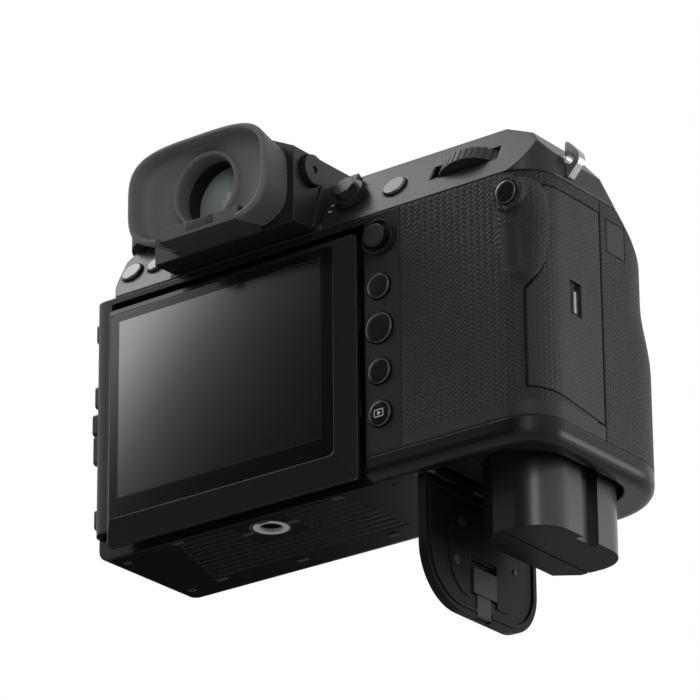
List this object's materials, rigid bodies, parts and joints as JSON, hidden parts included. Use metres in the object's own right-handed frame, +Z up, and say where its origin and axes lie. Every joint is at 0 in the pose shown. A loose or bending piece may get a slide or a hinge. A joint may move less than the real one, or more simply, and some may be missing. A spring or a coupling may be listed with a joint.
{
  "type": "medium format digital camera",
  "caption": "Mirrorless medium format camera body with deep grip, tilting rear monitor, viewfinder with eyecup, working dials and buttons, and an open battery door with the battery half out",
  "frame": {"origin": "mouth of the tripod socket", "axes": "+Z up, lens towards -Y, monitor towards +Y, grip towards -X"},
  "size_m": [0.1521, 0.0862, 0.1372],
  "materials": {
    "magnesium_black": "satin black paint",
    "grip_rubber": "grained black rubber",
    "black_plastic": "satin black",
    "battery_grey": "matt dark grey",
    "steel": "bright steel",
    "silver_key": "silver",
    "frame_alloy": "dark anodised",
    "dark_unit": "dark",
    "contact_gold": "gold plated",
    "screen_glass": "dark display panel",
    "lens_glass": "coated optical glass"
  },
  "bodies": {
    "body": {"bottom_cover": "magnesium_black", "front_cover": "magnesium_black", "grip_cover": "grip_rubber", "rear_cover": "magnesium_black", "rear_grip_pad": "grip_rubber", "top_cover": "magnesium_black", "left_side_panel": "grip_rubber", "viewfinder_housing": "magnesium_black", "eyecup": "grip_rubber", "eyepiece_frame": "black_plastic", "eyepiece_lens": "lens_glass", "hot_shoe": "magnesium_black", "lens_mount": "steel", "mount_contacts": "contact_gold", "image_sensor": "screen_glass", "sensor_frame": "frame_alloy", "shutter_unit": "dark_unit", "main_board": "dark_unit", "battery_chamber": "black_plastic", "card_sockets": "steel", "connector_sockets": "steel", "tripod_socket": "steel", "base_pads": "black_plastic", "top_display": "screen_glass", "strap_lugs": "steel", "monitor_low_pins": "steel", "battery_door_pin": "steel"},
    "monitor_arm": {"monitor_arm": "frame_alloy", "monitor_high_pins": "steel"},
    "monitor_cradle": {"monitor_cradle": "frame_alloy", "monitor_side_pins": "steel"},
    "monitor": {"monitor_housing": "black_plastic", "monitor_glass": "screen_glass"},
    "battery": {"battery": "battery_grey"},
    "battery_door": {"battery_door": "magnesium_black"},
    "door_latch": {"door_latch": "black_plastic"},
    "card_door": {"card_door": "grip_rubber"},
    "card_latch": {"card_latch": "black_plastic"},
    "remote_cover": {"remote_cover": "grip_rubber"},
    "connector_cover_upper": {"connector_cover_upper": "grip_rubber"},
    "connector_cover_lower": {"connector_cover_lower": "grip_rubber"},
    "mode_dial": {"mode_dial": "black_plastic"},
    "mode_lock_button": {"mode_lock_button": "silver_key"},
    "drive_button": {"drive_button": "silver_key"},
    "shutter_button": {"shutter_button": "silver_key"},
    "power_lever": {"power_lever": "black_plastic"},
    "front_dial": {"front_dial": "black_plastic"},
    "rear_dial": {"rear_dial": "black_plastic"},
    "af_button": {"af_button": "silver_key"},
    "focus_mode_lever": {"focus_mode_lever": "black_plastic"},
    "joystick_gimbal": {"joystick_gimbal": "steel"},
    "joystick": {"joystick": "black_plastic"},
    "ael_button": {"ael_button": "black_plastic"},
    "menu_button": {"menu_button": "black_plastic"},
    "display_button": {"display_button": "black_plastic"},
    "playback_button": {"playback_button": "black_plastic"},
    "q_button": {"q_button": "black_plastic"},
    "diopter_dial": {"diopter_dial": "black_plastic"},
    "lens_release_button": {"lens_release_button": "black_plastic"},
    "lens_lock_pin": {"lens_lock_pin": "steel"}
  },
  "joints": [
    {"name": "monitor_low_hinge", "type": "hinge", "parent": "body", "child": "monitor_arm", "pos_m": [0, 0.0094, 0.005], "axis": [-1, 0, 0], "range_deg": [0, 45]},
    {"name": "monitor_high_hinge", "type": "hinge", "parent": "monitor_arm", "child": "monitor_cradle", "pos_m": [0, 0.0086, 0.0645], "axis": [1, 0, 0], "range_deg": [0, 90]},
    {"name": "monitor_side_hinge", "type": "hinge", "parent": "monitor_cradle", "child": "monitor", "pos_m": [-0.0356, 0.01, 0.038], "axis": [0, 0, 1], "range_deg": [0, 60]},
    {"name": "battery_slide", "type": "slide", "parent": "body", "child": "battery", "axis": [0, 0, 1], "range_m": [0, 0.0226]},
    {"name": "battery_door_hinge", "type": "hinge", "parent": "body", "child": "battery_door", "pos_m": [-0.054, -0.017, 0.0016], "axis": [0, 1, 0], "range_deg": [0, 90.2]},
    {"name": "door_latch_slide", "type": "slide", "parent": "battery_door", "child": "door_latch", "axis": [0, 0, 1], "range_m": [0, 0.002], "stiffness_N_per_m": 400},
    {"name": "card_door_hinge", "type": "hinge", "parent": "body", "child": "card_door", "pos_m": [-0.0921, -0.016, 0.042], "axis": [0, 0, 1], "range_deg": [0, 90]},
    {"name": "card_latch_slide", "type": "slide", "parent": "card_door", "child": "card_latch", "axis": [0, 0, 1], "range_m": [0, 0.002], "stiffness_N_per_m": 400},
    {"name": "remote_cover_hinge", "type": "hinge", "parent": "body", "child": "remote_cover", "pos_m": [-0.09275, -0.02115, 0.0645], "axis": [0, 0, -1], "range_deg": [0, 90]},
    {"name": "connector_cover_upper_hinge", "type": "hinge", "parent": "body", "child": "connector_cover_upper", "pos_m": [0.0531, -0.019, 0.0566], "axis": [0, 0, -1], "range_deg": [0, 110]},
    {"name": "connector_cover_lower_hinge", "type": "hinge", "parent": "body", "child": "connector_cover_lower", "pos_m": [0.0531, -0.019, 0.026], "axis": [0, 0, -1], "range_deg": [0, 110]},
    {"name": "mode_dial_turn", "type": "hinge", "parent": "body", "child": "mode_dial", "pos_m": [0.0374, -0.005, 0.0947], "axis": [0, 0, 1], "continuous": true},
    {"name": "mode_lock_press", "type": "slide", "parent": "body", "child": "mode_lock_button", "axis": [0, -0.8775, -0.4796], "range_m": [0, 0.0007], "stiffness_N_per_m": 800},
    {"name": "drive_press", "type": "slide", "parent": "body", "child": "drive_button", "axis": [0, -0.8775, -0.4796], "range_m": [0, 0.0007], "stiffness_N_per_m": 800},
    {"name": "af_press", "type": "slide", "parent": "body", "child": "af_button", "axis": [0, -0.8775, -0.4796], "range_m": [0, 0.0007], "stiffness_N_per_m": 800},
    {"name": "shutter_press", "type": "slide", "parent": "body", "child": "shutter_button", "axis": [0.4117, 0.5976, -0.688], "range_m": [0, 0.0012], "stiffness_N_per_m": 800},
    {"name": "power_lever_turn", "type": "hinge", "parent": "body", "child": "power_lever", "pos_m": [-0.06902, -0.03197, 0.0824], "axis": [-0.4117, -0.5976, 0.688], "range_deg": [0, 30]},
    {"name": "front_dial_turn", "type": "hinge", "parent": "body", "child": "front_dial", "pos_m": [-0.06803, -0.04401, 0.06497], "axis": [-0.4117, -0.5976, 0.688], "continuous": true},
    {"name": "rear_dial_turn", "type": "hinge", "parent": "body", "child": "rear_dial", "pos_m": [-0.069, -0.00217, 0.07728], "axis": [0, -0.4796, 0.8775], "continuous": true},
    {"name": "focus_mode_turn", "type": "hinge", "parent": "body", "child": "focus_mode_lever", "pos_m": [-0.032, 0.00622, 0.08278], "axis": [0, 0.8775, 0.4796], "range_deg": [-35, 35]},
    {"name": "joystick_tilt_up", "type": "hinge", "parent": "body", "child": "joystick_gimbal", "pos_m": [-0.0443, 0.0069, 0.0662], "axis": [1, 0, 0], "range_deg": [-7, 7], "stiffness_Nm_per_rad": 0.05},
    {"name": "joystick_tilt_side", "type": "hinge", "parent": "joystick_gimbal", "child": "joystick", "pos_m": [-0.0443, 0.0069, 0.0662], "axis": [0, 0, 1], "range_deg": [-7, 7], "stiffness_Nm_per_rad": 0.05},
    {"name": "ael_press", "type": "slide", "parent": "body", "child": "ael_button", "axis": [0, -1, 0], "range_m": [0, 0.0006], "stiffness_N_per_m": 800},
    {"name": "menu_press", "type": "slide", "parent": "body", "child": "menu_button", "axis": [0, -1, 0], "range_m": [0, 0.0006], "stiffness_N_per_m": 800},
    {"name": "display_press", "type": "slide", "parent": "body", "child": "display_button", "axis": [0, -1, 0], "range_m": [0, 0.0006], "stiffness_N_per_m": 800},
    {"name": "playback_press", "type": "slide", "parent": "body", "child": "playback_button", "axis": [0, -1, 0], "range_m": [0, 0.0006], "stiffness_N_per_m": 800},
    {"name": "q_press", "type": "slide", "parent": "body", "child": "q_button", "axis": [0, -1, 0], "range_m": [0, 0.0006], "stiffness_N_per_m": 800},
    {"name": "diopter_turn", "type": "hinge", "parent": "body", "child": "diopter_dial", "pos_m": [-0.0237, 0.013, 0.0906], "axis": [1, 0, 0], "range_deg": [-120, 120]},
    {"name": "lens_release_press", "type": "slide", "parent": "body", "child": "lens_release_button", "axis": [0, 1, 0], "range_m": [0, 0.002], "stiffness_N_per_m": 800},
    {"name": "lens_lock_travel", "type": "slide", "parent": "body", "child": "lens_lock_pin", "axis": [0, 1, 0], "range_m": [0, 0.002]}
  ],
  "couplings": [
    {"joint": "battery_door_hinge", "follows": "battery_slide", "rad_per_m": 69.504},
    {"joint": "lens_lock_travel", "follows": "lens_release_press", "ratio": 1}
  ]
}
